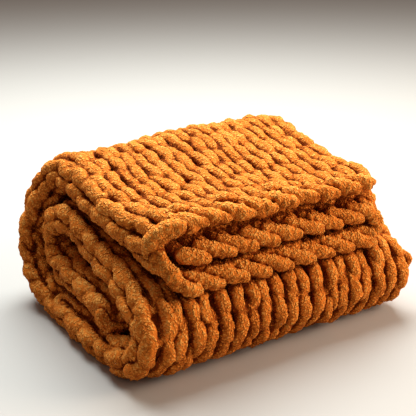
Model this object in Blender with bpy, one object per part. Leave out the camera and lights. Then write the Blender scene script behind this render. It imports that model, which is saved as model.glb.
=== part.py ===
"""Chunky knit blanket, folded in thirds and then rolled over on itself into a low stack.

One closed body: a thick knitted cloth in its true folded shape.  Millimetres are used in the
tables; the body is written in metres.  +X runs along the front edge, -Y is the front, +Z is up,
and the origin is under the middle of the stack on the surface it rests on.
"""
import math

import bmesh
import bpy
import numpy as np

NAME = "knit_blanket"
MM = 0.001

# Cloth
LAYER_GAP = 2.2            # air between neighbouring layers of one run, mm
EDGE_ROUND = 0.95          # rounding radius of a free edge, as a share of the half thickness
FOLD_STEPS_WIDE = 6        # facets round the left fold (the wide one)
FOLD_STEPS_TIGHT = 5       # facets round the right fold (the tight one)
PANEL_STEPS = 6            # facets across each of the three panels
RIGHT_FOLD_REACH = 7.0     # how far the tight fold stands out past the free side of the top panel
INNER_EDGE_ROOM = 6.0      # air between the inner free side and the inside of the wide fold
STATION_PITCH = 30.0       # length of a facet along the runs, mm
STATION_PITCH_BEND = 18.5  # the same in the bends

# Colour of the cloth
COLOUR = (0.46, 0.165, 0.035, 1.0)
ROUGHNESS = 0.95

# The line the middle layer follows, seen from the left end, from the cast-off end on top of the
# stack to the cast-on end inside it.
# part: what the row belongs to; y, z: position; pitch: distance between layers;
# left, right: where the sides reach; lean: turn of the layer stack off square, degrees
LINE_COLUMNS = ("part", "y", "z", "pitch", "left", "right", "lean")
LINE = [
    ("cast-off end", -160.0, 170.0, 39.0, -202.0, 193.0, 36.0),
    ("cast-off end", -140.0, 177.0, 35.5, -203.0, 194.0, 32.0),
    ("top run",      -111.0, 184.5, 28.0, -205.0, 195.0, 20.0),
    ("top run",       -74.0, 191.0, 20.5, -207.0, 195.0, 8.0),
    ("top run",       -27.0, 197.0, 18.5, -208.0, 196.0, 0.0),
    ("top run",        20.0, 203.0, 18.5, -209.0, 196.0, 0.0),
    ("top run",        78.0, 211.0, 18.5, -206.0, 198.0, 0.0),
    ("outer bend",    126.0, 210.0, 18.5, -206.0, 201.0, 0.0),
    ("outer bend",    161.0, 189.0, 18.5, -214.0, 205.0, 0.0),
    ("outer bend",    181.0, 152.0, 18.0, -230.0, 210.0, 0.0),
    ("outer bend",    185.0, 108.0, 17.5, -245.0, 214.0, 0.0),
    ("outer bend",    172.0,  66.0, 17.0, -250.0, 217.0, 0.0),
    ("outer bend",    141.0,  35.0, 16.5, -250.0, 219.0, 0.0),
    ("bottom run",     97.0,  22.7, 16.0, -249.0, 221.0, 0.0),
    ("bottom run",     30.0,  22.6, 16.0, -249.0, 222.0, 0.0),
    ("bottom run",    -45.0,  22.6, 16.0, -249.0, 224.0, 0.0),
    ("bottom run",   -110.0,  22.9, 16.2, -248.0, 226.0, 0.0),
    ("front bend",   -154.0,  33.0, 16.5, -245.0, 228.0, 0.0),
    ("front bend",   -173.0,  59.0, 16.5, -240.0, 230.0, 0.0),
    ("front bend",   -162.0,  89.0, 16.5, -234.0, 229.0, 0.0),
    ("front bend",   -131.0, 108.0, 16.5, -228.0, 226.0, 0.0),
    ("second run",    -88.0, 120.0, 17.0, -223.0, 224.0, 0.0),
    ("second run",    -30.0, 132.0, 17.0, -221.0, 220.0, 0.0),
    ("second run",     38.0, 147.0, 17.0, -222.0, 216.0, 0.0),
    ("inner bend",     89.0, 155.0, 17.0, -224.0, 213.0, 0.0),
    ("inner bend",    120.0, 141.0, 16.5, -226.0, 211.0, 0.0),
    ("inner bend",    128.0, 113.0, 16.5, -228.0, 209.0, 0.0),
    ("inner bend",    110.0,  87.0, 16.5, -230.0, 207.0, 0.0),
    ("third run",      70.0,  78.0, 16.5, -232.0, 206.0, 0.0),
    ("third run",      10.0,  76.0, 16.0, -234.0, 204.0, 0.0),
    ("third run",     -45.0,  73.5, 15.5, -236.0, 203.0, 0.0),
    ("cast-on end",   -94.0,  71.0, 15.2, -238.0, 202.0, 0.0),
]

# Slow unevenness of the resting stack.
# height: rise at the full height of the stack, mm; x_turns, y_turns: waves over the stack
# in each direction; phase: start of the wave
SWELL_COLUMNS = ("height", "x_turns", "y_turns", "phase")
SWELLS = [
    (2.6, 0.8, 0.5, 0.4),
    (1.8, 1.7, -0.7, 1.9),
    (1.2, 2.6, 1.6, 4.1),
]
FRONT_RIGHT_DROP = 18.0    # how much lower the front right corner of the top lies
BACK_LEFT_RISE = 4.0       # how much higher the back left corner of the top lies
BACK_RIGHT_RISE = 21.0     # how much higher the back right corner of the top lies
FRONT_MIDDLE_RISE = 13.0   # how much higher the middle of the front edge of the top lies
SPAN_X, SPAN_Y, SPAN_Z = 485.0, 415.0, 240.0


def column(rows, columns, name):
    return np.array([row[columns.index(name)] for row in rows], dtype=float)


def through(knots, values, at):
    """Smooth curve through the values, read at the given places."""
    slope = np.gradient(values, knots)
    index = np.clip(np.searchsorted(knots, at, side="right") - 1, 0, len(knots) - 2)
    span = knots[index + 1] - knots[index]
    t = (at - knots[index]) / span
    h00, h10 = 2 * t**3 - 3 * t**2 + 1, t**3 - 2 * t**2 + t
    h01, h11 = -2 * t**3 + 3 * t**2, t**3 - t**2
    return (h00 * values[index] + h10 * span * slope[index]
            + h01 * values[index + 1] + h11 * span * slope[index + 1])


def edge_stations(thickness):
    """Distances from a free edge, and the share of the thickness there, for a rounded edge."""
    radius = 0.5 * thickness * EDGE_ROUND
    return [(0.0, 0.34), (0.30 * radius, 0.74), (radius, 1.0)]


def line_stations():
    """Places along the line: closer together in the bends and at the two ends."""
    y, z = column(LINE, LINE_COLUMNS, "y"), column(LINE, LINE_COLUMNS, "z")
    pitch = column(LINE, LINE_COLUMNS, "pitch")
    knots = np.concatenate(([0.0], np.cumsum(np.hypot(np.diff(y), np.diff(z)))))
    first = edge_stations(pitch[0] - LAYER_GAP)
    last = edge_stations(pitch[-1] - LAYER_GAP)
    places = [distance for distance, _ in first]
    share = [part for _, part in first]
    start, stop = first[-1][0], knots[-1] - last[-1][0]
    inner = []
    for row in range(len(LINE) - 1):
        bend = "bend" in LINE[row][0] or "bend" in LINE[row + 1][0] or "off" in LINE[row][0]
        step = STATION_PITCH_BEND if bend else STATION_PITCH
        count = max(1, round((knots[row + 1] - knots[row]) / step))
        inner.extend(np.linspace(knots[row], knots[row + 1], count, endpoint=False))
    inner = [place for place in inner if start + 6.0 < place < stop - 6.0]
    places += inner + [knots[-1] - distance for distance, _ in reversed(last)]
    share += [1.0] * len(inner) + [part for _, part in reversed(last)]
    return knots, np.array(places), np.array(share)


def section(pitch, left, right):
    """The thirds fold, seen along the runs: its middle line, its facing and its fullness."""
    thickness = pitch - LAYER_GAP
    half = 0.5 * thickness
    wide, tight = pitch, 0.5 * pitch
    points, normals, full = [], [], []

    def add(x, n, normal_x, normal_n, fullness=1.0):
        points.append((x, n))
        normals.append((normal_x, normal_n))
        full.append(fullness)

    fold_left = left + half + wide
    fold_right = right + RIGHT_FOLD_REACH - half - tight
    for distance, fullness in edge_stations(thickness):
        add(right - distance, pitch, 0.0, 1.0, fullness)
    start = right - edge_stations(thickness)[-1][0]
    for step in range(1, PANEL_STEPS):
        add(start + (fold_left - start) * step / PANEL_STEPS, pitch, 0.0, 1.0)
    for step in range(FOLD_STEPS_WIDE + 1):
        angle = math.pi * step / FOLD_STEPS_WIDE
        add(fold_left - wide * math.sin(angle), wide * math.cos(angle),
            -math.sin(angle), math.cos(angle))
    for step in range(1, PANEL_STEPS):
        add(fold_left + (fold_right - fold_left) * step / PANEL_STEPS, -pitch, 0.0, -1.0)
    for step in range(FOLD_STEPS_TIGHT + 1):
        angle = math.pi * step / FOLD_STEPS_TIGHT
        add(fold_right + tight * math.sin(angle), -tight - tight * math.cos(angle),
            math.sin(angle), -math.cos(angle))
    inner_edge = left + thickness + INNER_EDGE_ROOM
    stop = inner_edge + edge_stations(thickness)[-1][0]
    for step in range(1, PANEL_STEPS):
        add(fold_right + (stop - fold_right) * step / PANEL_STEPS, 0.0, 0.0, 1.0)
    for distance, fullness in reversed(edge_stations(thickness)):
        add(inner_edge + distance, 0.0, 0.0, 1.0, fullness)
    return np.array(points), np.array(normals), np.array(full)


def settle(x, y, z):
    """Slow unevenness of the stack, none of it at the surface it rests on."""
    height = np.clip(z / SPAN_Z, 0.0, 1.2)
    rise = np.zeros_like(z)
    for amount, x_turns, y_turns, phase in SWELLS:
        rise += amount * np.sin(2 * math.pi * (x_turns * x / SPAN_X + y_turns * y / SPAN_Y) + phase)
    front = np.clip(0.5 - y / SPAN_Y, 0.0, 1.0)
    across = np.clip(0.5 + x / SPAN_X, 0.0, 1.0)
    rise -= FRONT_RIGHT_DROP * front * across
    rise += (1.0 - front) * (BACK_LEFT_RISE * (1.0 - across) + BACK_RIGHT_RISE * across)
    rise += FRONT_MIDDLE_RISE * front ** 3 * 4.0 * across * (1.0 - across)
    return np.maximum(z + rise * height * height, 0.0)


def cloth_sides():
    """Both faces of the cloth as grids of points, station by station."""
    knots, places, share = line_stations()
    columns = {name: column(LINE, LINE_COLUMNS, name) for name in LINE_COLUMNS[1:]}
    at = {name: through(knots, values, places) for name, values in columns.items()}
    step = 0.5
    ahead_y = through(knots, columns["y"], np.minimum(places + step, knots[-1]))
    ahead_z = through(knots, columns["z"], np.minimum(places + step, knots[-1]))
    behind_y = through(knots, columns["y"], np.maximum(places - step, 0.0))
    behind_z = through(knots, columns["z"], np.maximum(places - step, 0.0))
    heading = np.arctan2(ahead_z - behind_z, ahead_y - behind_y)
    facing = heading + math.pi / 2 - np.radians(at["lean"])
    sides = []
    for sign in (1.0, -1.0):
        grid = []
        for i in range(len(places)):
            pitch = at["pitch"][i]
            points, normals, full = section(pitch, at["left"][i], at["right"][i])
            half = 0.5 * (pitch - LAYER_GAP) * share[i] * full
            moved = points + sign * normals * half[:, None]
            y = at["y"][i] + moved[:, 1] * math.cos(facing[i])
            z = at["z"][i] + moved[:, 1] * math.sin(facing[i])
            x = moved[:, 0]
            grid.append(np.stack([x, y, settle(x, y, z)], axis=1))
        sides.append(np.array(grid))
    return sides


def body_mesh():
    upper, lower = cloth_sides()
    rows, cols = upper.shape[:2]
    points = np.concatenate([upper.reshape(-1, 3), lower.reshape(-1, 3)])
    low = points.min(axis=0)
    high = points.max(axis=0)
    points = points - np.array([(low[0] + high[0]) / 2, (low[1] + high[1]) / 2, low[2]])

    def top(i, j):
        return i * cols + j

    def under(i, j):
        return rows * cols + i * cols + j

    faces = []
    for i in range(rows - 1):
        for j in range(cols - 1):
            faces.append((top(i, j), top(i, j + 1), top(i + 1, j + 1), top(i + 1, j)))
            faces.append((under(i, j), under(i + 1, j), under(i + 1, j + 1), under(i, j + 1)))
    for i in range(rows - 1):
        faces.append((top(i, 0), top(i + 1, 0), under(i + 1, 0), under(i, 0)))
        last = cols - 1
        faces.append((top(i + 1, last), top(i, last), under(i, last), under(i + 1, last)))
    for j in range(cols - 1):
        faces.append((top(0, j + 1), top(0, j), under(0, j), under(0, j + 1)))
        last = rows - 1
        faces.append((top(last, j), top(last, j + 1), under(last, j + 1), under(last, j)))
    mesh = bpy.data.meshes.new(NAME)
    mesh.from_pydata([tuple(point) for point in points * MM], [], faces)
    mesh.update()
    work = bmesh.new()
    work.from_mesh(mesh)
    bmesh.ops.triangulate(work, faces=work.faces[:], quad_method="SHORT_EDGE")
    bmesh.ops.recalc_face_normals(work, faces=work.faces[:])
    work.to_mesh(mesh)
    work.free()
    return mesh


def cloth_material():
    material = bpy.data.materials.new(NAME)
    material.use_nodes = True
    shader = material.node_tree.nodes["Principled BSDF"]
    shader.inputs["Base Color"].default_value = COLOUR
    shader.inputs["Roughness"].default_value = ROUGHNESS
    shader.inputs["Metallic"].default_value = 0.0
    material.diffuse_color = COLOUR
    return material


def main():
    for thing in list(bpy.data.objects):
        bpy.data.objects.remove(thing, do_unlink=True)
    body = bpy.data.objects.new(NAME, body_mesh())
    body.data.materials.append(cloth_material())
    bpy.context.scene.collection.objects.link(body)


main()
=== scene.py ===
"""Chunky knit throw blanket, folded in thirds and rolled over on itself into a low stack.

Every stitch is modelled: one strand runs to and fro through the courses of plain knitting, with a
chain along the cast-off edge and loops along the cast-on edge.  Lengths in the tables and in the
stitch functions are millimetres; meshes are written in metres, in the frame's axes.
"""
import math

import bpy
import numpy as np
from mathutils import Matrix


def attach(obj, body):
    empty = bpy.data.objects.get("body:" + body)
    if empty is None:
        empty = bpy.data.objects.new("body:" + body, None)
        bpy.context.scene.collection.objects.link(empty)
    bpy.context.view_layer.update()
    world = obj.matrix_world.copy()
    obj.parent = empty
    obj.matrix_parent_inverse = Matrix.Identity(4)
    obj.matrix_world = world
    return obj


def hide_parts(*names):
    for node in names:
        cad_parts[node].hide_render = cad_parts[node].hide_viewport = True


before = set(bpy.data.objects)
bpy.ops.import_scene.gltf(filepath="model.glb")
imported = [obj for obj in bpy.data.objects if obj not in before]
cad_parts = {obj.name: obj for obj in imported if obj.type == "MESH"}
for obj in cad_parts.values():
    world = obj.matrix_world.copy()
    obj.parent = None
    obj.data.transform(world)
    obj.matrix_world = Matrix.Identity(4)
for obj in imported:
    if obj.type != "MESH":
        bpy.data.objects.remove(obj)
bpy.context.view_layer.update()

bl_info = {
    "name": "Chunky knit blanket",
    "version": (1, 0, 0),
    "blender": (4, 5, 0),
    "location": "View3D > Sidebar > Blanket",
    "description": "Builds a folded chunky knit blanket stitch by stitch, with its stage",
    "category": "Add Mesh",
}

CLOTH_NODE = "knit_blanket"
BODY = "root"
MM = 0.001

# ---------------------------------------------------------------- how the cloth is folded

LAYER_GAP = 2.2  # air between neighbouring layers of one run
RIGHT_FOLD_REACH = 7.0  # how far the tight fold stands out past the free side of the top panel
INNER_EDGE_ROOM = 6.0  # air between the inner free side and the inside of the wide fold
STACK_MIDDLE = (-7.06, 7.08)  # middle of the stack in the table's coordinates

# The line that the middle layer follows, seen from the left end, from the cast-off end on top of
# the stack to the cast-on end inside it.  y, z: position; pitch: distance between layers;
# left, right: where the sides reach; lean: turn of the layer stack off square, degrees
LINE_COLUMNS = ("y", "z", "pitch", "left", "right", "lean")
LINE = np.array([
    # cast-off end and top run
    (-160, 170, 39, -202, 193, 36),
    (-140, 177, 35.5, -203, 194, 32),
    (-111, 184.5, 28, -205, 195, 20),
    (-74, 191, 20.5, -207, 195, 8),
    (-27, 197, 18.5, -208, 196, 0),
    (20, 203, 18.5, -209, 196, 0),
    (78, 211, 18.5, -206, 198, 0),
    # outer bend
    (126, 210, 18.5, -206, 201, 0),
    (161, 189, 18.5, -214, 205, 0),
    (181, 152, 18, -230, 210, 0),
    (185, 108, 17.5, -245, 214, 0),
    (172, 66, 17, -250, 217, 0),
    (141, 35, 16.5, -250, 219, 0),
    # bottom run
    (97, 22.7, 16, -249, 221, 0),
    (30, 22.6, 16, -249, 222, 0),
    (-45, 22.6, 16, -249, 224, 0),
    (-110, 22.9, 16.2, -248, 226, 0),
    # front bend
    (-154, 33, 16.5, -245, 228, 0),
    (-173, 59, 16.5, -240, 230, 0),
    (-162, 89, 16.5, -234, 229, 0),
    (-131, 108, 16.5, -228, 226, 0),
    # second run
    (-88, 120, 17, -223, 224, 0),
    (-30, 132, 17, -221, 220, 0),
    (38, 147, 17, -222, 216, 0),
    # inner bend
    (89, 155, 17, -224, 213, 0),
    (120, 141, 16.5, -226, 211, 0),
    (128, 113, 16.5, -228, 209, 0),
    (110, 87, 16.5, -230, 207, 0),
    # third run and cast-on end
    (70, 78, 16.5, -232, 206, 0),
    (10, 76, 16, -234, 204, 0),
    (-45, 73.5, 15.5, -236, 203, 0),
    (-94, 71, 15.2, -238, 202, 0),
])
KNOTS = np.concatenate(([0.0], np.cumsum(np.hypot(np.diff(LINE[:, 0]), np.diff(LINE[:, 1])))))
CLOTH_LENGTH = float(KNOTS[-1])

# Slow unevenness of the resting stack: rise at its full height, waves across and along, phase
SWELLS = ((2.6, 0.8, 0.5, 0.4), (1.8, 1.7, -0.7, 1.9), (1.2, 2.6, 1.6, 4.1))
FRONT_RIGHT_DROP = 18.0  # how much lower the front right corner lies
BACK_LEFT_RISE = 4.0  # how much higher the back left corner lies
BACK_RIGHT_RISE = 21.0  # how much higher the back right corner lies
FRONT_MIDDLE_RISE = 13.0  # how much higher the middle of the front edge lies
SPAN_X, SPAN_Y, SPAN_Z = 485.0, 415.0, 240.0  # size of the stack that these are spread over
PRESS_SOFTNESS = 3.0  # height over which the cloth is pressed flat where it rests
PRESS_SINK = 0.12  # how far it then sinks, as a share of that height
FLOOR_SQUASH = 2.0  # height over which the strands' undersides are squashed on the floor
FLOOR_CLEARANCE = 0.15  # how far they then stay off it


def through(knots, values, at):
    """Smooth curve through the values, read at the given places."""
    slope = np.gradient(values, knots)
    index = np.clip(np.searchsorted(knots, at, side="right") - 1, 0, len(knots) - 2)
    span = knots[index + 1] - knots[index]
    t = (at - knots[index]) / span
    h00, h10 = 2 * t**3 - 3 * t**2 + 1, t**3 - 2 * t**2 + t
    h01, h11 = -2 * t**3 + 3 * t**2, t**3 - t**2
    return (h00 * values[index] + h10 * span * slope[index]
            + h01 * values[index + 1] + h11 * span * slope[index + 1])


def path_length(points):
    """Length of the path through the points, up to each of them."""
    return np.concatenate(([0.0], np.cumsum(np.linalg.norm(np.diff(points, axis=0), axis=1))))


def settle(x, y, z):
    """Slow unevenness of the stack, none of it at the surface it rests on."""
    height = np.clip(z / SPAN_Z, 0.0, 1.2)
    rise = np.zeros_like(z)
    for amount, x_turns, y_turns, phase in SWELLS:
        rise += amount * np.sin(2 * math.pi * (x_turns * x / SPAN_X + y_turns * y / SPAN_Y) + phase)
    front = np.clip(0.5 - y / SPAN_Y, 0.0, 1.0)
    across = np.clip(0.5 + x / SPAN_X, 0.0, 1.0)
    rise -= FRONT_RIGHT_DROP * front * across
    rise += (1.0 - front) * (BACK_LEFT_RISE * (1.0 - across) + BACK_RIGHT_RISE * across)
    rise += FRONT_MIDDLE_RISE * front ** 3 * 4.0 * across * (1.0 - across)
    return z + rise * height * height


def press_flat(z):
    """Keeps places on the cloth over the surface it rests on, pressed flat where they meet it."""
    eased = 0.5 * (z + np.sqrt(z * z + PRESS_SOFTNESS * PRESS_SOFTNESS))
    return eased - PRESS_SINK * PRESS_SOFTNESS


def squash_on_floor(z):
    """Squashes what would sink into the floor, in metres.

    A plain cut-off would leave crossing strands with faces in one plane there.
    """
    z = z / MM
    return (0.5 * (z + np.sqrt(z * z + FLOOR_SQUASH * FLOOR_SQUASH)) + FLOOR_CLEARANCE) * MM


def layer_place(across, along):
    """Where a place on the cloth lies in the folded strip's own section.

    Gives the line's values there, x and the height n over the line, and the cloth's normal as
    its parts along x and n.
    """
    line = {name: through(KNOTS, LINE[:, k], along) for k, name in enumerate(LINE_COLUMNS)}
    wide, tight = line["pitch"], 0.5 * line["pitch"]
    thickness = line["pitch"] - LAYER_GAP
    fold_left = line["left"] + 0.5 * thickness + wide
    fold_right = line["right"] + RIGHT_FOLD_REACH - 0.5 * thickness - tight
    inner_edge = line["left"] + thickness + INNER_EDGE_ROOM
    lengths = [line["right"] - fold_left, math.pi * wide, fold_right - fold_left,
               math.pi * tight, fold_right - inner_edge]
    place = across * sum(lengths)
    x, n = line["right"] - place, wide.copy()
    normal_x, normal_n = np.zeros_like(x), np.ones_like(x)

    ends = np.cumsum(lengths, axis=0)
    # The two side folds: where each starts and ends, radius, middle in x and n, side it lies on
    for start, end, radius, fold_x, fold_n, side in (
            (ends[0], ends[1], wide, fold_left, 0.0, -1.0),
            (ends[2], ends[3], tight, fold_right, -tight, 1.0)):
        on = place > start
        turn = np.clip((place - start) / radius, 0.0, math.pi)
        x = np.where(on, fold_x + side * radius * np.sin(turn), x)
        n = np.where(on, fold_n - side * radius * np.cos(turn), n)
        normal_x = np.where(on, side * np.sin(turn), normal_x)
        normal_n = np.where(on, -side * np.cos(turn), normal_n)
        x = np.where(place > end, fold_x - side * (place - end), x)
    return line, x, n, normal_x, normal_n


def folded(across, along, lift):
    """Places on the folded cloth, in metres.

    across: 0 at the free side of the top panel to 1 at the inner free side; along: millimetres
    from the cast-off edge; lift: millimetres off the cloth's middle, towards its right side.
    """
    across, along, lift = np.broadcast_arrays(
        *(np.asarray(values, float) for values in (across, along, lift)))
    on_cloth = np.clip(along, 0.0, CLOTH_LENGTH)
    line, x, n, normal_x, normal_n = layer_place(across, on_cloth)
    ahead = np.minimum(on_cloth + 0.5, CLOTH_LENGTH)
    behind = np.maximum(on_cloth - 0.5, 0.0)
    heading = np.arctan2(through(KNOTS, LINE[:, 1], ahead) - through(KNOTS, LINE[:, 1], behind),
                         through(KNOTS, LINE[:, 0], ahead) - through(KNOTS, LINE[:, 0], behind))
    facing = heading + math.pi / 2 - np.radians(line["lean"])
    x = x + normal_x * lift
    n = n + normal_n * lift
    beyond = along - on_cloth
    y = line["y"] + n * np.cos(facing) + beyond * np.cos(heading)
    z = line["z"] + n * np.sin(facing) + beyond * np.sin(heading)
    z = press_flat(settle(x, y, z))
    return np.stack([x - STACK_MIDDLE[0], y - STACK_MIDDLE[1], z], axis=-1) * MM


# ---------------------------------------------------------------- even random fields

HASH_PRIMES = np.array([73856093, 19349663, 83492791])
HASH_SEED, HASH_MIX = 2654435761, 1274126177


def cell_corners(part):
    """The eight corners of a cell, and how much each counts for the places in it."""
    for corner in np.ndindex(2, 2, 2):
        step = np.array(corner[::-1])
        yield step, np.prod(np.where(step, part, 1.0 - part), axis=1)


def lattice_noise(points, cell, seed):
    """Smooth noise from -1 to 1 over places in metres, with lumps about one cell wide."""
    scaled = points / (cell * MM)
    base = np.floor(scaled).astype(np.int64)
    part = scaled - base
    part = part * part * (3.0 - 2.0 * part)
    total = np.zeros(len(points))
    for step, weight in cell_corners(part):
        spot = (base + step) * HASH_PRIMES + seed * HASH_SEED
        mixed = spot[:, 0] ^ spot[:, 1] ^ spot[:, 2]
        mixed = (mixed ^ (mixed >> 13)) * HASH_MIX & 0xFFFFFFFF
        value = ((mixed ^ (mixed >> 16)) & 0xFFFF) / 32767.5 - 1.0
        total += weight * value
    return total


# ---------------------------------------------------------------- strands

FLATNESS = 0.86  # thickness of the strand off the cloth, as a share of its width
OUTER_BIAS = 0.42  # how far the points round a strand crowd onto its outer side
CREASE_CELL = 24.0 * MM  # grid for finding the strands that touch
CREASE_WIDTH = 2.4 * MM  # how far from another strand its crease reaches
CREASE_SHADE = 0.11  # how much a crease adds to the painted shade
OWN_TURN = 30.0 * MM  # nearer places along the same strand don't count
PAINTED_TOP_LIGHT = 6.0  # painted light: how much paler in tone the pile is painted where it faces up
HOLLOW_PROBE = 9.0  # how far off the strand the crowding for the painted shade is read, millimetres
TUFT_LUMPS = ((1.1, 4.4, 3), (0.8, 2.7, 7), (0.8, 9.0, 11))  # amount, width in millimetres, seed


class Strand:
    """One tube: its route on the cloth, its thickness and the tone of each place along it.

    outer: the step (along, lift), in millimetres, that leads to the side that shows.
    """

    def __init__(self, across, along, lift, radius, tone, flat=FLATNESS, outer=(0.0, 1.0)):
        self.across, self.along, self.lift = across, along, lift
        self.radius, self.tone, self.flat, self.outer = radius, tone, flat, outer
        self.crease = None

    def centre(self):
        """Centre line of the tube, in metres."""
        return folded(self.across, self.along, self.lift)

    def frame(self):
        """Centre line and, at each place on it, the outer direction and the one beside it."""
        centre = self.centre()
        step_along, step_lift = self.outer
        outer = folded(self.across, self.along + step_along, self.lift + step_lift) - centre
        run = np.gradient(centre, axis=0)
        run /= np.linalg.norm(run, axis=1, keepdims=True) + 1e-12
        outer -= run * np.sum(outer * run, axis=1, keepdims=True)
        outer /= np.linalg.norm(outer, axis=1, keepdims=True) + 1e-12
        return centre, outer, np.cross(run, outer)

    def surface(self, sides):
        """Points round the bare strand at each place along it, and their outward directions."""
        centre, outer, beside = self.frame()
        turn = (np.arange(sides) + 0.5) * 2 * math.pi / sides - math.pi
        angle = math.pi / 2 + turn - OUTER_BIAS * np.sin(turn)
        out = (np.cos(angle)[None, :, None] * beside[:, None, :]
               + self.flat * np.sin(angle)[None, :, None] * outer[:, None, :])
        return centre[:, None, :] + out * (self.radius * MM)[:, None, None], out


def mark_creases(strands, sides):
    """Gives each strand its crease values for the painted shade in creases: 1 where another turn of
    strand touches it, else 0.

    Its surface is measured against every second place of the strands in the grid cells near it.
    """
    surfaces = [strand.surface(sides)[0] for strand in strands]
    counts = [len(surface) for surface in surfaces]
    surface = np.concatenate(surfaces)
    middle = surface.mean(axis=1)
    radius = np.concatenate([strand.radius for strand in strands]) * MM
    owner = np.repeat(np.arange(len(strands)), counts)
    run = np.concatenate([path_length(part.mean(axis=1)) for part in surfaces])
    low = middle.min(axis=0)
    cell = ((middle - low) / CREASE_CELL).astype(int) + 1
    size = cell.max(axis=0) + 2
    key = (cell[:, 0] * size[1] + cell[:, 1]) * size[2] + cell[:, 2]
    kept = np.arange(0, len(middle), 2)
    kept = kept[np.argsort(key[kept], kind="stable")]
    kept_keys = key[kept]
    gap = np.full(surface.shape[:2], CREASE_WIDTH)
    for shift in np.ndindex(3, 3, 3):
        near = key + ((shift[0] - 1) * size[1] + shift[1] - 1) * size[2] + shift[2] - 1
        first = np.searchsorted(kept_keys, near, "left")
        last = np.searchsorted(kept_keys, near, "right")
        for step in range(int((last - first).max())):
            rows = np.nonzero(first + step < last)[0]
            other = kept[first[rows] + step]
            apart = (owner[rows] != owner[other]) | (np.abs(run[rows] - run[other]) > OWN_TURN)
            close = np.sum((middle[rows] - middle[other]) ** 2, axis=1)
            chosen = apart & (close < (radius[rows] + radius[other] + CREASE_WIDTH) ** 2)
            rows, other = rows[chosen], other[chosen]
            between = np.linalg.norm(surface[rows] - middle[other][:, None, :], axis=2)
            gap[rows] = np.minimum(gap[rows], between - radius[other][:, None])
    crease = 1.0 - np.clip(gap / CREASE_WIDTH, 0.0, 1.0)
    for strand, part in zip(strands, np.split(crease, np.cumsum(counts)[:-1])):
        strand.crease = part


class Crowding:
    """How full of strand the space round any place is: 0 in the open, near 1 inside the cloth. It
    sets the painted shade where strands crowd.
    """
    CELL = 5.0 * MM
    PASSES = 3
    BORDER = 8  # empty cells round the strands

    def __init__(self, strands):
        centres, volumes = [], []
        for strand in strands:
            centre = strand.centre()
            step = np.linalg.norm(np.gradient(centre, axis=0), axis=1)
            centres.append(centre)
            volumes.append(math.pi * strand.flat * (strand.radius * MM) ** 2 * step)
        centres, volumes = np.concatenate(centres), np.concatenate(volumes)
        self.low = centres.min(axis=0) - self.BORDER * self.CELL
        size = np.ceil((centres.max(axis=0) - self.low) / self.CELL).astype(int) + self.BORDER + 1
        full = np.zeros(size)
        spot = np.round((centres - self.low) / self.CELL).astype(int)
        np.add.at(full, tuple(spot.T), volumes / self.CELL ** 3)
        for _ in range(self.PASSES):
            for axis in range(3):
                full = (np.roll(full, 1, axis) + full + np.roll(full, -1, axis)) / 3.0
        self.full = full

    def at(self, points):
        """Crowding at the given places, read smoothly between the cells."""
        place = np.clip((points - self.low) / self.CELL, 0.0, np.array(self.full.shape) - 1.001)
        base = place.astype(int)
        part = place - base
        total = np.zeros(len(points))
        for step, weight in cell_corners(part):
            total += weight * self.full[tuple((base + step).T)]
        return total


def pile_height(points):
    """Height of the pile's tufts over the strand, about -1 to 1."""
    return sum(amount * lattice_noise(points, width, seed) for amount, width, seed in TUFT_LUMPS)


def strand_rings(strand, sides, fuzz, crowding):
    """Points round the strand at each place along it, pile included, and their shading values,
    painted shade and light among them.
    """
    points, out = strand.surface(sides)
    flat_points = points.reshape(-1, 3)
    pile = pile_height(flat_points).reshape(points.shape[:2])
    # Painted shade: darker where the space just off the strand is crowded, and in the creases where
    # strands touch
    probe = points + out * (HOLLOW_PROBE * MM)
    painted_shade = crowding.at(probe.reshape(-1, 3)).reshape(points.shape[:2])
    painted_shade = painted_shade + CREASE_SHADE * strand.crease
    points = points + out * (fuzz * MM) * pile[:, :, None]
    points[:, :, 2] = squash_on_floor(points[:, :, 2])
    # Painted light: the tone is raised where the pile faces up, on top of each stitch's own tone
    tone = np.repeat(strand.tone[:, None], sides, axis=1) + PAINTED_TOP_LIGHT * out[:, :, 2]
    return points, {"tone": tone, "tuft": pile, "painted_shade": painted_shade}


def strands_mesh(name, strands, sides, fuzz, crowding):
    """One mesh of closed tubes, with a map along the strands and the shading attributes, painted
    shade and painted top light among them.
    """
    points, quads, maps = [], [], []
    shades = {"tone": [], "tuft": [], "painted_shade": []}
    start = 0
    for strand in strands:
        rings, values = strand_rings(strand, sides, fuzz, crowding)
        count = len(rings)
        index = start + np.arange(count * sides).reshape(count, sides)
        turned = np.roll(index, -1, axis=1)
        quads.append(np.stack([index[:-1], index[1:], turned[1:], turned[:-1]], axis=-1)
                     .reshape(-1, 4))
        u, v = np.meshgrid(path_length(rings.mean(axis=1)), np.arange(sides) / sides,
                           indexing="ij")
        here, beside = np.stack([u, v], -1), np.stack([u, v + 1.0 / sides], -1)
        corners = (here[:-1], here[1:], beside[1:], beside[:-1])
        maps.append(np.stack(corners, axis=2).reshape(-1, 4, 2))
        points += [rings.reshape(-1, 3), rings[[0, -1]].mean(axis=1)]
        for key, value in values.items():
            shades[key] += [value.reshape(-1), [value[0].mean(), value[-1].mean()]]
        first_tip = start + count * sides
        caps = ((index[0], turned[0], first_tip), (turned[-1], index[-1], first_tip + 1))
        for ring, next_ring, tip in caps:
            tip_row = np.full(sides, tip)
            quads.append(np.stack([ring, next_ring, tip_row, tip_row], axis=-1))
            maps.append(np.zeros((sides, 4, 2)))
        start = first_tip + 2
    shades = {key: np.concatenate(value) for key, value in shades.items()}
    return fill_mesh(name, np.concatenate(points), np.concatenate(quads), np.concatenate(maps),
                     shades)


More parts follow.
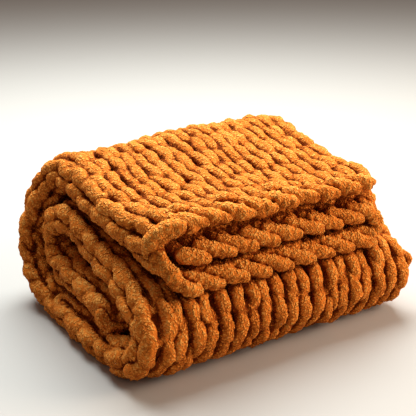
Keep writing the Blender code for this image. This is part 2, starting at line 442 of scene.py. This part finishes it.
def fill_mesh(name, points, quads, maps, attributes):
    """A smooth mesh from arrays; a quad whose last corner repeats is written as a triangle.

    Corners run anticlockwise seen from outside, so that every face points outwards.
    """
    mesh = bpy.data.meshes.new(name)
    triangle = quads[:, 2] == quads[:, 3]
    sizes = np.where(triangle, 3, 4)
    keep = np.ones(quads.shape, bool)
    keep[triangle, 3] = False
    loops = quads[keep]
    mesh.vertices.add(len(points))
    mesh.vertices.foreach_set("co", points.astype(np.float32).ravel())
    mesh.loops.add(len(loops))
    mesh.loops.foreach_set("vertex_index", loops.astype(np.int32))
    mesh.polygons.add(len(quads))
    starts = np.concatenate(([0], np.cumsum(sizes)[:-1]))
    mesh.polygons.foreach_set("loop_start", starts.astype(np.int32))
    mesh.polygons.foreach_set("use_smooth", np.ones(len(quads), bool))
    layer = mesh.uv_layers.new(name="strand")
    layer.data.foreach_set("uv", maps[keep].astype(np.float32).ravel())
    for key, values in attributes.items():
        attribute = mesh.attributes.new(key, "FLOAT", "POINT")
        attribute.data.foreach_set("value", values.astype(np.float32))
    mesh.update()
    mesh.validate()
    return mesh


# ---------------------------------------------------------------- stitches

BEADS = 10  # thick and thin places along the strand of one stitch
KEYS = 4  # places in one stitch where its random shifts are drawn
SHIFT_ACROSS = 0.045  # spread of those shifts at an unevenness of 1, in stitch widths
SHIFT_ALONG = 2.4  # the same along the cloth, millimetres
SHIFT_UP = 1.0  # the same off the cloth, millimetres
SWAY = 0.05  # slow sideways drift of a wale at an unevenness of 1, in stitch widths
SWAY_TURN = 0.55  # how far that drift goes on from course to course, radians
FOLD_BEADING = 1.3  # how much more the strand thickens and thins round a side fold
CREST_AT_ENDS = 0.3  # share of the crest that is left at a loop's two ends
WIDENING = 0.8  # how soon the strand widens after a dive
LEG_CROWDING = 0.055  # how much closer the rings lie on a stitch's two legs, in stitches

TOP_PANEL_MIDDLE = 0.15  # across
SEEN_ACROSS = 0.41  # across: how far the top panel and the wide fold show
SEEN_LENGTH = 985.0  # and for how far from the cast-off edge, millimetres
SEEN_SIDES = ((0.0, 0.04), (0.27, 0.41), (0.64, 0.73))  # across: what shows at the two ends
SEEN_END = 70.0  # how far from the cast-off edge all three layers show, millimetres

TURN_PLACES = 7  # rings in the bow of strand between two courses
TURN_REACH = 0.0075  # how far out it stands, as a share of the width
TURN_RISE = 3.0  # how far it stands up, millimetres
TURN_SWELL = 0.12  # how much thicker it is in its middle


def between_keys(values, place):
    """Reads one row of evenly spaced values smoothly between them."""
    return through(np.arange(len(values), dtype=float), values, place)


def is_seen(across, along):
    """True where a stitch shows on the folded stack, so that it needs fine rings."""
    panel = across < SEEN_ACROSS and along < SEEN_LENGTH
    sides = any(low < across < high for low, high in SEEN_SIDES)
    return panel or sides or along < SEEN_END


def stitch_steps(steps):
    """Places of the rings in one stitch, closer together on its two legs."""
    even = np.arange(steps) / steps
    return even + LEG_CROWDING * np.sin(4 * math.pi * even)


def course_edges(margin, courses):
    """Where the courses part along the cloth, evenly spaced on the top panel's outer side."""
    along = np.arange(0.0, CLOTH_LENGTH, 5.0)
    outer = path_length(folded(TOP_PANEL_MIDDLE, along, 0.0) / MM)
    return np.interp(np.linspace(margin, outer[-1] - margin, courses + 1), outer, along)


def stitch_rows(yarn):
    """The route of every course: the strand's places, thickness and tone, course by course."""
    random = np.random.default_rng(yarn.seed)
    wales, courses, uneven = yarn.wales, yarn.courses, yarn.unevenness
    wale = 1.0 / wales
    edges = course_edges(yarn.edge_margin / MM, courses)
    keys = (courses, KEYS * wales + 1)
    shift_x = random.normal(0.0, uneven * SHIFT_ACROSS * wale, keys)
    shift_y = random.normal(0.0, uneven * SHIFT_ALONG, keys)
    shift_n = random.normal(0.0, uneven * SHIFT_UP, keys)
    beads = random.normal(0.0, uneven * yarn.beading, (courses, BEADS * wales + 1))
    tones = random.normal(0.0, 1.0, keys)
    sways = random.uniform(0, 2 * math.pi, (wales + 1, 2))[:, 0]
    strand = 0.5 * yarn.strand_width / MM
    rows = []
    for course in range(courses):
        middle = 0.5 * (edges[course] + edges[course + 1])
        phase = []
        for stitch in range(wales):
            fine = is_seen((stitch + 0.5) * wale, middle)
            phase.append(stitch + stitch_steps(yarn.fine_steps if fine else yarn.plain_steps))
        phase = np.append(np.concatenate(phase), wales)
        angle = 2 * math.pi * (phase - 0.5)
        sine, cosine = np.sin(angle), np.cos(angle)
        at_key = KEYS * phase
        reach = yarn.loop_reach * (edges[course + 1] - edges[course])
        x = (wale * (phase + yarn.loop_pinch * np.sin(2 * angle))
             + between_keys(shift_x[course], at_key))
        y = middle - reach * cosine + between_keys(shift_y[course], at_key)
        slow = np.interp(phase, np.arange(wales + 1), np.sin(sways + course * SWAY_TURN))
        x = x + uneven * SWAY * wale * slow
        depth = yarn.loop_depth / MM
        crest = (yarn.crest / MM * cosine
                 * (CREST_AT_ENDS + (1.0 - CREST_AT_ENDS) * sine ** 2))
        lift = (-depth * np.cos(2 * angle) - yarn.sink / MM + crest
                + between_keys(shift_n[course], at_key))
        fat = yarn.tip_width + (1.0 - yarn.tip_width) * np.abs(sine) ** WIDENING
        fat = fat * (1.0 + yarn.teardrop * cosine)
        folding = np.abs(layer_place(x, np.clip(y, 0.0, CLOTH_LENGTH))[3])
        bead = between_keys(beads[course], BEADS * phase) * (1.0 + FOLD_BEADING * folding)
        radius = strand * fat * (1.0 + bead)
        rows.append([x, y, lift, radius, between_keys(tones[course], at_key)])
    return rows


def selvedge_turn(end, start, outward):
    """A short bow of strand from the end of one course to the start of the next."""
    t = np.linspace(0.0, 1.0, TURN_PLACES + 2)[1:-1]
    bow = np.sin(math.pi * t)
    turn = [end[k] + (start[k] - end[k]) * t for k in range(5)]
    turn[0] = turn[0] + outward * TURN_REACH * bow
    turn[2] = turn[2] + TURN_RISE * bow
    turn[3] = turn[3] * (1.0 + TURN_SWELL * bow)
    return turn


def joined_rows(rows, first, last):
    """One strand through courses first to last - 1, to and fro."""
    parts = []
    for course in range(first, last):
        forward = course % 2 == 0
        row = [values if forward else values[::-1] for values in rows[course]]
        if parts:
            end = [values[-1] for values in parts[-1]]
            start = [values[0] for values in row]
            parts.append(selvedge_turn(end, start, 1.0 if end[0] > 0.5 else -1.0))
        parts.append(row)
    return Strand(*(np.concatenate([part[k] for part in parts]) for k in range(5)))


# ---------------------------------------------------------------- edge chains

FOLD_START, FOLD_END = 0.305, 0.39  # across: the wide fold, between the top and lower panels
TIGHT_FOLD = 0.695  # across: the tight fold, between lower and middle panels
FOLD_OVERLAP = 0.02  # across: how far the chain runs into the wide fold
CHAIN_ENDS = (0.006, 0.994)  # across: how near the sides of the cloth a leg may come
POPPED_SHARE = 0.4  # share of the top panel's links with a popped leg
POPPED_ARCH = (5.0, 9.0)  # how far a popped leg's middle stands up, millimetres
LEG_SPREAD = (0.03, 0.7, 0.7)  # how uneven a leg's ends are, in wales and millimetres
LEG_EARLY = 1.2  # how much of its way out a leg makes at its start
LEG_BEADS, LEG_BEADING = 7, 0.7  # thick and thin places, and how strong, as a share
LEG_GIRTH, LEG_BELLY = 0.88, 0.14  # thickness at a leg's ends, and what its middle adds
LEG_ROUNDING, LEG_NARROWING = 12, 5  # how late the ends round off and the front one tapers
LEG_TIP = 0.2  # radius left at the very ends, millimetres
THIN_LEG = 0.92  # thickness of the back and popped legs, as a share
TAPER, FLAT_TAPER = 0.3, 0.5  # how much thinner a leg gets to its front end

# The chains' legs, each as (start, end): along the chain in wales, and out of the edge and up in
# millimetres
FLAT_LEG = ((-0.78, 0.72), (-18.0, 4.0), (6.0, -1.0))
FRONT_LEG = ((-0.84, 0.76), (-8.0, 6.0), (6.0, -5.5))
LONG_LEG = ((-0.92, 0.80), (-8.0, 7.0), (7.0, -6.5))
BACK_LEG = ((-0.35, 1.05), (-32.0, -23.0), (14.0, 11.0))
POPPED_LEG = ((-0.55, 0.45), (-36.0, -24.0), (0.0, 3.0))
# The two legs that turn down round the front corner: (start, end) across, out and up, then how far
# the middle stands up and how much the end tapers
DROP_LEGS = ((((0.294, 0.350), (12.0, -22.0), (4.0, 6.0)), 6.0, 0.5),
             (((0.338, 0.376), (-16.0, 13.0), (3.0, -5.0)), -2.0, 0.55))


def chain_heading(across):
    """Which way the chain runs along the cloth there, and which side of the cloth is up."""
    if across < 0.5 * (FOLD_START + FOLD_END) or across > TIGHT_FOLD:
        return -1.0, 1.0
    return 1.0, -1.0


def chain_leg(yarn, random, places, arch, taper, fat=1.0):
    """One leg of a chain: a short strand that swells, then tapers to a rounded front end.

    places: its across, away and up at the two ends; arch: how far its middle stands up.
    """
    t = np.linspace(0.0, 1.0, yarn.fine_steps)
    early = 1.0 - (1.0 - t) ** LEG_EARLY
    across, away, up = (ends[0] + (ends[1] - ends[0]) * along
                        for ends, along in zip(places, (t, early, early)))
    beads = random.normal(0.0, LEG_BEADING * yarn.beading, LEG_BEADS)
    bead = through(np.linspace(0.0, 1.0, LEG_BEADS), beads, t)
    rounded = np.sqrt(np.clip(1.0 - np.abs(2.0 * t - 1.0) ** LEG_ROUNDING, 0.0, 1.0))
    radius = (LEG_GIRTH + LEG_BELLY * np.sin(math.pi * t)) * (1.0 - taper * t ** LEG_NARROWING)
    radius = radius * (1.0 + bead)
    radius = 0.5 * yarn.strand_width / MM * yarn.chain_width * fat * rounded * radius + LEG_TIP
    return np.clip(across, *CHAIN_ENDS), away, up + arch * np.sin(math.pi * t), radius


def edge_chain(yarn, along, outward, seed):
    """A chain along an edge of the cloth: slanting legs, each lying over the start of the next."""
    random = np.random.default_rng(seed)
    wales = yarn.wales
    legs = []

    def lay(places, side, **shape):
        """Adds one leg, on the side of the cloth that is up there."""
        across, away, up, radius = chain_leg(yarn, random, places, **shape)
        legs.append(Strand(across, along + outward * away, side * up, radius,
                           np.full(len(across), random.normal()), flat=1.0,
                           outer=(outward, 0.5 * side)))

    for link in range(wales):
        middle = (link + 0.5) / wales
        toward, side = chain_heading(middle)
        kinds = ([FLAT_LEG] if middle < FOLD_START + FOLD_OVERLAP else
                 [FRONT_LEG, BACK_LEG] if middle > TIGHT_FOLD else [LONG_LEG])
        if FOLD_START + FOLD_OVERLAP < middle < FOLD_END - FOLD_OVERLAP:
            continue
        if middle < FOLD_START and random.random() < POPPED_SHARE:
            kinds.append(POPPED_LEG)
        for kind in kinds:
            run, away, up = (np.array(ends) + random.normal(0.0, scale * yarn.unevenness, 2)
                             for ends, scale in zip(kind, LEG_SPREAD))
            arch = random.uniform(*POPPED_ARCH) if kind is POPPED_LEG else 0.0
            lay((middle + toward * run / wales, away, up), side, arch=arch,
                fat=THIN_LEG if kind in (BACK_LEG, POPPED_LEG) else 1.0,
                taper=FLAT_TAPER if kind is FLAT_LEG else TAPER)
    if outward < 0:
        for places, arch, taper in DROP_LEGS:
            lay(places, 1.0, arch=arch, taper=taper)
    return legs


# ---------------------------------------------------------------- materials

# Sockets of the pile's node group: direction, kind and names
PILE_SOCKETS = (("INPUT", "NodeSocketColor", ("Tip colour", "Pile colour", "Root colour")),
                ("INPUT", "NodeSocketFloat", ("Tuft scale", "Tuft contrast")),
                ("OUTPUT", "NodeSocketColor", ("Colour",)),
                ("OUTPUT", "NodeSocketFloat", ("Tufts",)))
PILE_LEVEL = 0.55  # shade level of the plain pile colour, from 0, root, to 1, tip
STRAND_MAP = (1.0, 0.040, 1.0)  # metres for each unit of the map along and round the strand
RUFFLE = (0.0034, 0.0034, 0.0034)  # how far the tufts are shuffled out of line, in metres
TUFT_MELT = 0.25  # how much neighbouring tufts run into each other
TUFT_EDGE, TUFT_TOP = 0.62, 0.20  # distance from a tuft's middle to its edge and to its full top
DRIFT_SCALE, DRIFT_SHARE = 9.0, 0.3  # slow change of colour, and its part of the level
FULL_SHADE_AT, NO_SHADE_AT = 0.52, 0.10  # painted shade: crowding where it is full, and where there is none
PAINTED_SHADE_SHARE = 0.62  # part of the level that the painted shade takes away where it is full
ROOT_SHARE = 0.16  # part of it that comes from the height of the modelled tufts: painted light on them, painted shade between
TONE_SHARE = 0.03  # part of it for each step of the tone: a stitch's own tone, and the painted top light
TUFT_SCALE = 300.0  # tufts for each metre
TUFT_CONTRAST = 0.56
TUFT_BUMP = 0.0030  # height of the bump, metres
SHEEN_TINT = (1.0, 0.50, 0.16, 1.0)


def feed(tree, node, inputs):
    """Sets the node's inputs, or links those whose value is another node's output."""
    for key, value in inputs.items():
        if isinstance(value, bpy.types.NodeSocket):
            tree.links.new(value, node.inputs[key])
        else:
            node.inputs[key].default_value = value
    return node


def add_node(tree, kind, inputs, **attributes):
    """A new node in the tree, with its attributes set and its inputs fed."""
    node = tree.nodes.new(kind)
    for key, value in attributes.items():
        setattr(node, key, value)
    return feed(tree, node, inputs)


def pile_group():
    """Shader group for a chenille pile: tufts, slow colour drift, painted shade and painted top
    light.
    """
    group = bpy.data.node_groups.get("Chenille pile")
    if group:
        return group
    group = bpy.data.node_groups.new("Chenille pile", "ShaderNodeTree")
    for direction, kind, names in PILE_SOCKETS:
        for name in names:
            group.interface.new_socket(name=name, in_out=direction, socket_type=kind)
    given = group.nodes.new("NodeGroupInput").outputs
    place = group.nodes.new("ShaderNodeTexCoord").outputs

    def calculate(operation, first, second):
        """Result of a calculation."""
        return add_node(group, "ShaderNodeMath", {0: first, 1: second},
                        operation=operation).outputs["Value"]

    def shade(name):
        """One of the mesh's shading values."""
        return add_node(group, "ShaderNodeAttribute", {}, attribute_name=name).outputs["Fac"]

    def blend(factor, first, second):
        """A mix of two colours."""
        return add_node(group, "ShaderNodeMix", {"Factor": factor, 6: first, 7: second},
                        data_type="RGBA").outputs[2]

    def ranged(value, limits, **attributes):
        """The value spread from the given limits to 0 and 1."""
        return add_node(group, "ShaderNodeMapRange", {"Value": value, **limits},
                        **attributes).outputs["Result"]

    ruffle = add_node(group, "ShaderNodeTexNoise", {
        "Vector": place["Object"], "Scale": given["Tuft scale"], "Detail": 1.0})
    along_strand = add_node(group, "ShaderNodeVectorMath", {0: place["UV"], 1: STRAND_MAP},
                            operation="MULTIPLY")
    ruffled = add_node(group, "ShaderNodeVectorMath", {
        0: ruffle.outputs["Color"], 1: RUFFLE, 2: along_strand.outputs["Vector"]},
        operation="MULTIPLY_ADD")
    domes = add_node(group, "ShaderNodeTexVoronoi", {
        "Vector": ruffled.outputs["Vector"], "Scale": given["Tuft scale"],
        "Smoothness": TUFT_MELT}, feature="SMOOTH_F1")
    tufts = ranged(domes.outputs["Distance"], {"From Min": TUFT_EDGE, "From Max": TUFT_TOP})
    drift = add_node(group, "ShaderNodeTexNoise", {
        "Vector": place["Object"], "Scale": DRIFT_SCALE, "Detail": 2.0})
    # Painted shade: the level drops where strands crowd round the surface
    unshaded_part = ranged(shade("painted_shade"), {"From Min": FULL_SHADE_AT, "From Max": NO_SHADE_AT},
                       interpolation_type="SMOOTHSTEP")

    tuft_part = calculate("MULTIPLY", calculate("SUBTRACT", tufts, 0.5), given["Tuft contrast"])
    drift_part = calculate("MULTIPLY", calculate("SUBTRACT", drift.outputs["Fac"], 0.5),
                           DRIFT_SHARE)
    tone_part = calculate("MULTIPLY", shade("tone"), TONE_SHARE)
    # Painted light and shade: the level is higher on the modelled tufts and lower between them
    root_part = calculate("MULTIPLY", shade("tuft"), ROOT_SHARE)
    unshaded_share = calculate("MULTIPLY", unshaded_part, PAINTED_SHADE_SHARE)
    level = calculate("ADD", calculate("ADD", tuft_part, drift_part),
                      calculate("ADD", calculate("ADD", tone_part, root_part), unshaded_share))
    # From the root colour, where the painted shade is full, through the pile colour to the tip
    # colour, where the painted light is
    rooted = blend(ranged(level, {"From Max": PILE_LEVEL}), given["Root colour"],
                   given["Pile colour"])
    tipped = blend(ranged(level, {"From Min": PILE_LEVEL}), rooted, given["Tip colour"])
    add_node(group, "NodeGroupOutput", {"Colour": tipped, "Tufts": tufts})
    return group


def new_material(name):
    """A material with nodes, and its node tree."""
    material = bpy.data.materials.new(name)
    material.use_nodes = True
    return material, material.node_tree


def pile_material():
    """The blanket's one material, made when it is first asked for."""
    material = bpy.data.materials.get("chenille_pile")
    if material:
        return material
    colours = settings("blanket_colours")
    material, tree = new_material("chenille_pile")
    pile = add_node(tree, "ShaderNodeGroup", {
        "Tip colour": colours.tip, "Pile colour": colours.pile, "Root colour": colours.root,
        "Tuft scale": TUFT_SCALE, "Tuft contrast": TUFT_CONTRAST}, node_tree=pile_group())
    bump = add_node(tree, "ShaderNodeBump", {
        "Strength": 1.0, "Distance": TUFT_BUMP, "Height": pile.outputs["Tufts"]})
    feed(tree, tree.nodes["Principled BSDF"], {
        "Base Color": pile.outputs["Colour"], "Normal": bump.outputs["Normal"],
        "Roughness": 0.92, "Specular IOR Level": 0.06, "Sheen Weight": 0.04,
        "Sheen Roughness": 0.5, "Sheen Tint": SHEEN_TINT})
    return material


def floor_material():
    """A plain matt finish for the floor."""
    material, tree = new_material("floor_matt")
    feed(tree, tree.nodes["Principled BSDF"], {
        "Base Color": settings("blanket_colours").floor, "Roughness": 0.7})
    return material


# ---------------------------------------------------------------- settings

def number(name, description, default, low, high, **more):
    """A setting that is a number, with its limits."""
    return bpy.props.FloatProperty(
        name=name, description=description, default=default, min=low, max=high, **more)


def length(*given):
    """A number that is a length in metres."""
    return number(*given, unit="LENGTH")


def degrees(name, description, value):
    """A number that is an angle."""
    return number(name, description, math.radians(value), -math.pi, math.pi, subtype="ANGLE")


def whole(name, description, default, low, high):
    """A setting that is a whole number, with its limits."""
    return bpy.props.IntProperty(
        name=name, description=description, default=default, min=low, max=high)


def colour(name, description, *default):
    """A setting that is a colour."""
    return bpy.props.FloatVectorProperty(
        name=name, description=description, subtype="COLOR", size=4, default=(*default, 1.0),
        min=0.0, max=1.0)


class YarnSettings(bpy.types.PropertyGroup):
    """Yarn and stitches"""
    wales: whole("Wales", "Stitches across the flat blanket", 30, 6, 60)
    courses: whole("Courses", "Rows of stitches from edge to edge", 35, 8, 80)
    strand_width: length(
        "Strand width", "Width of the chenille strand, pile included", 0.0225, 0.005, 0.05)
    loop_reach: number("Loop reach", "Half the height of a loop, in course heights", 0.82, 0.5, 1.2)
    loop_pinch: number(
        "Loop pinch", "How far the legs of a loop lean, in stitch widths", 0.155, 0.0, 0.3)
    loop_depth: length(
        "Loop depth", "How far the legs stand in front of the loop's ends", 0.0042, 0.0, 0.02)
    crest: length("Crest", "How far a leg's upper end rides over the next one", 0.0030, 0.0, 0.02)
    beading: number(
        "Beading", "How much the strand swells and thins along its run", 0.05, 0.0, 0.3)
    teardrop: number("Teardrop", "How much fuller a leg is at its upper end", 0.12, 0.0, 0.5)
    sink: length("Sink", "How far the stitches lie below the cloth's middle", 0.002, -0.01, 0.01)
    tip_width: number(
        "Tip width", "Width of the strand where it dives, as a share", 0.76, 0.4, 1.0,
        subtype="FACTOR")
    chain_width: number(
        "Edge strand", "Width of the strand in the edge chain, as a share", 1.0, 0.5, 1.5)
    edge_margin: length("Edge margin", "Room for the edge chains at both ends", 0.024, 0.0, 0.05)
    unevenness: number(
        "Unevenness", "How uneven the hand-made stitches are", 1.2, 0.0, 3.0)
    fuzz: length("Fuzz", "Height of the pile's tufts", 0.0016, 0.0, 0.005)
    fine_steps: whole("Fine steps", "Rings in a stitch that shows", 38, 8, 64)
    plain_steps: whole("Plain steps", "Rings in a hidden stitch", 10, 6, 64)
    sides: whole("Sides", "Points round the strand", 16, 6, 32)
    seed: whole("Seed", "Pattern of the unevenness", 5, 0, 9999)


class ColourSettings(bpy.types.PropertyGroup):
    """Colours of the pile and the floor; the tip and root colours also give the pile's painted
    light and painted shade
    """
    # Tips: the pile's tips, and also the painted light where the pile is open or faces up
    tip: colour("Tips", "Colour of the pile's tips", 1.0, 0.43, 0.088)
    pile: colour("Pile", "Main colour of the pile", 0.80, 0.215, 0.024)
    # Roots: deep between the tufts, and also the painted shade where strands crowd and on the dark
    # sheet
    root: colour("Roots", "Colour deep between the tufts", 0.22, 0.034, 0.002)
    floor: colour("Floor", "Colour of the floor", 0.46, 0.445, 0.43)


class StageSettings(bpy.types.PropertyGroup):
    """Camera and light"""
    camera_place: bpy.props.FloatVectorProperty(
        name="Camera place", description="Where the camera stands", subtype="TRANSLATION", size=3,
        default=(-0.747, -1.158, 0.690), unit="LENGTH")
    turn: degrees("Turn", "Heading of the camera off the front", 33.4)
    tilt: degrees("Tilt", "How far the camera looks down", 22.9)
    lens: number("Lens", "Focal length on a 36 mm sensor", 82.7, 20.0, 300.0)
    key_power: number("Window light", "Power of the large soft light", 96.0, 0.0, 1000.0)
    side_power: number(
        "Side light", "Power of the soft light from the right", 57.0, 0.0, 1000.0)
    surround: number("Surround", "Strength of the light from all round", 0.195, 0.0, 10.0)


def settings(name):
    """One of the scene's groups of settings."""
    return getattr(bpy.context.scene, name)


def add_piece(name, mesh, material):
    """A finished piece at the origin that rides on the blanket's body."""
    piece = bpy.data.objects.new(name, mesh)
    bpy.context.scene.collection.objects.link(piece)
    mesh.materials.append(material)
    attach(piece, BODY)
    return piece


# ---------------------------------------------------------------- operators

# Pieces of the knitting: name, first course and the one after its last
COURSE_GROUPS = (("strand_top_run", 0, 7), ("strand_outer_bend", 7, 13),
                 ("strand_bottom_run", 13, 18), ("strand_front_bend", 18, 25),
                 ("strand_inner_runs", 25, 35))
# The two edges: name, where the chain lies along the cloth, which way it faces, random seed
EDGE_CHAINS = (("cast_off_chain", 4.0, -1.0, 21),
               ("cast_on_loops", CLOTH_LENGTH - 6.0, 1.0, 22))

CORE_ACROSS = (0.012, 0.988)  # across: where the sheet under the stitches lies, painted shade that shows through the gaps
CORE_ALONG = (10.0, CLOTH_LENGTH - 10.0)
CORE_COLUMNS, CORE_ROWS = 90, 110
CORE_TOP, CORE_BOTTOM = -2.0, -4.0  # its two faces, off the middle of the cloth, millimetres

# The soft lights: place, size and colour
WINDOW_LIGHT = ((0.35, 0.85, 1.75), (1.8, 1.3), (0.94, 1.0, 0.98))
SIDE_LIGHT = ((1.7, -1.1, 0.9), (1.2, 1.2), (1.0, 0.81, 0.63))
SURROUND_COLOUR = (1.0, 0.73, 0.58, 1.0)
FLOOR_SIZE = 8.0
FLOOR_HEIGHT = -0.0006  # a hair under the blanket, so that no faces coincide
LENS_SHIFT = (-0.0216346154, 0.0721153846)  # of the picture on the sensor, in its widths


def all_strands(yarn):
    """The strands of each group of courses and of each edge, and the crowding between them all."""
    rows = stitch_rows(yarn)
    share = yarn.courses / COURSE_GROUPS[-1][2]
    groups = {name: [joined_rows(rows, round(first * share), round(last * share))]
              for name, first, last in COURSE_GROUPS}
    chains = {name: edge_chain(yarn, along, outward, seed)
              for name, along, outward, seed in EDGE_CHAINS}
    everything = [strand for strands in (*groups.values(), *chains.values()) for strand in strands]
    mark_creases(everything, yarn.sides)
    return groups, chains, Crowding(everything)


def add_strands(pieces, crowding):
    """Makes one piece of each named list of strands."""
    yarn = settings("blanket_yarn")
    for name, strands in pieces.items():
        mesh = strands_mesh(name, strands, yarn.sides, yarn.fuzz / MM, crowding)
        add_piece(name, mesh, pile_material())


class BLANKET_OT_stitches(bpy.types.Operator):
    """Lay the strand through every course of plain knitting"""
    bl_idname = "blanket.stitches"
    bl_label = "Stitches"

    def execute(self, context):
        groups, _, crowding = all_strands(settings("blanket_yarn"))
        add_strands(groups, crowding)
        return {"FINISHED"}


class BLANKET_OT_edges(bpy.types.Operator):
    """Finish the two ends with the cast-off chain and the cast-on loops"""
    bl_idname = "blanket.edges"
    bl_label = "Edges"

    def execute(self, context):
        _, chains, crowding = all_strands(settings("blanket_yarn"))
        add_strands(chains, crowding)
        return {"FINISHED"}


class BLANKET_OT_cloth(bpy.types.Operator):
    """Make the thin sheet in the middle of the cloth that the stitches lie on, painted dark as
    shade between them
    """
    bl_idname = "blanket.cloth"
    bl_label = "Cloth"

    def execute(self, context):
        grid_across, grid_along = np.meshgrid(np.linspace(*CORE_ACROSS, CORE_COLUMNS),
                                              np.linspace(*CORE_ALONG, CORE_ROWS))
        upper = folded(grid_across, grid_along, CORE_TOP)
        lower = folded(grid_across, grid_along, CORE_BOTTOM)
        rows, cols = grid_across.shape
        index = np.arange(rows * cols).reshape(rows, cols)
        under = index + rows * cols
        edge = np.concatenate([index[0, :-1], index[:-1, -1], index[-1, :0:-1], index[:0:-1, 0]])
        edge_next = np.roll(edge, -1)
        top = [index[:-1, :-1], index[1:, :-1], index[1:, 1:], index[:-1, 1:]]
        bottom = [under[:-1, :-1], under[:-1, 1:], under[1:, 1:], under[1:, :-1]]
        rim = [edge, edge_next, edge_next + rows * cols, edge + rows * cols]
        quads = np.concatenate([np.stack(face, -1).reshape(-1, 4) for face in (top, bottom, rim)])
        points = np.concatenate([upper.reshape(-1, 3), lower.reshape(-1, 3)])
        none = np.zeros(len(points))
        # Painted shade: the sheet is given full painted shade all over, so it shows dark between
        # the stitches
        mesh = fill_mesh("painted_shade_sheet", points, quads, np.zeros((len(quads), 4, 2)),
                         {"tone": none, "tuft": none, "painted_shade": none + 1.0})
        core = add_piece("painted_shade_sheet", mesh, pile_material())
        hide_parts(CLOTH_NODE)
        return {"FINISHED"}


def soft_light(name, power, place, size, tint):
    """Adds a soft rectangular light that faces the blanket."""
    data = bpy.data.lights.new(name, "AREA")
    data.shape = "RECTANGLE"
    data.size, data.size_y = size
    data.energy = power
    data.color = tint
    light = bpy.data.objects.new(name, data)
    light.location = place
    bpy.context.scene.collection.objects.link(light)
    light.rotation_euler = light.location.to_track_quat("Z", "Y").to_euler()


class BLANKET_OT_stage(bpy.types.Operator):
    """Add the floor, the soft lights and the camera"""
    bl_idname = "blanket.stage"
    bl_label = "Stage"

    def execute(self, context):
        stage = settings("blanket_stage")
        bpy.ops.mesh.primitive_plane_add(size=FLOOR_SIZE, location=(0.0, 0.0, FLOOR_HEIGHT))
        floor = context.object
        floor.name = "floor"
        floor.data.materials.append(floor_material())

        camera = bpy.data.objects.new("camera", bpy.data.cameras.new("camera"))
        context.scene.collection.objects.link(camera)
        camera.location = stage.camera_place
        camera.rotation_euler = (math.pi / 2 - stage.tilt, 0.0, -stage.turn)
        camera.data.lens = stage.lens
        camera.data.sensor_width = 36.0
        camera.data.shift_x, camera.data.shift_y = LENS_SHIFT
        context.scene.camera = camera

        soft_light("window", stage.key_power, *WINDOW_LIGHT)
        soft_light("side", stage.side_power, *SIDE_LIGHT)
        world = bpy.data.worlds.new("surround")
        world.use_nodes = True
        feed(world.node_tree, world.node_tree.nodes["Background"], {
            "Color": SURROUND_COLOUR, "Strength": stage.surround})
        context.scene.world = world
        context.scene.view_settings.view_transform = "Standard"
        return {"FINISHED"}


class BLANKET_PT_panel(bpy.types.Panel):
    """Steps that build the blanket"""
    bl_idname = "BLANKET_PT_panel"
    bl_label = "Chunky knit blanket"
    bl_space_type = "VIEW_3D"
    bl_region_type = "UI"
    bl_category = "Blanket"

    def draw(self, context):
        for group, _ in SETTINGS:
            box = self.layout.box()
            values = settings(group)
            for name in values.__annotations__:
                box.prop(values, name)
        for step in STEPS:
            self.layout.operator(step.bl_idname)


STEPS = (BLANKET_OT_stitches, BLANKET_OT_edges, BLANKET_OT_cloth, BLANKET_OT_stage)
SETTINGS = (("blanket_yarn", YarnSettings), ("blanket_colours", ColourSettings),
            ("blanket_stage", StageSettings))


def register():
    """Adds the settings, the steps and the panel."""
    for name, group in SETTINGS:
        bpy.utils.register_class(group)
        setattr(bpy.types.Scene, name, bpy.props.PointerProperty(type=group))
    for item in (*STEPS, BLANKET_PT_panel):
        bpy.utils.register_class(item)


def unregister():
    """Takes them away again."""
    for item in (BLANKET_PT_panel, *reversed(STEPS)):
        bpy.utils.unregister_class(item)
    for name, group in reversed(SETTINGS):
        delattr(bpy.types.Scene, name)
        bpy.utils.unregister_class(group)


def main():
    """Builds the blanket and its stage."""
    register()
    bpy.ops.object.select_all(action="DESELECT")
    bpy.ops.blanket.stitches()
    bpy.ops.blanket.edges()
    bpy.ops.blanket.cloth()
    bpy.ops.blanket.stage()


if __name__ == "__main__":
    main()
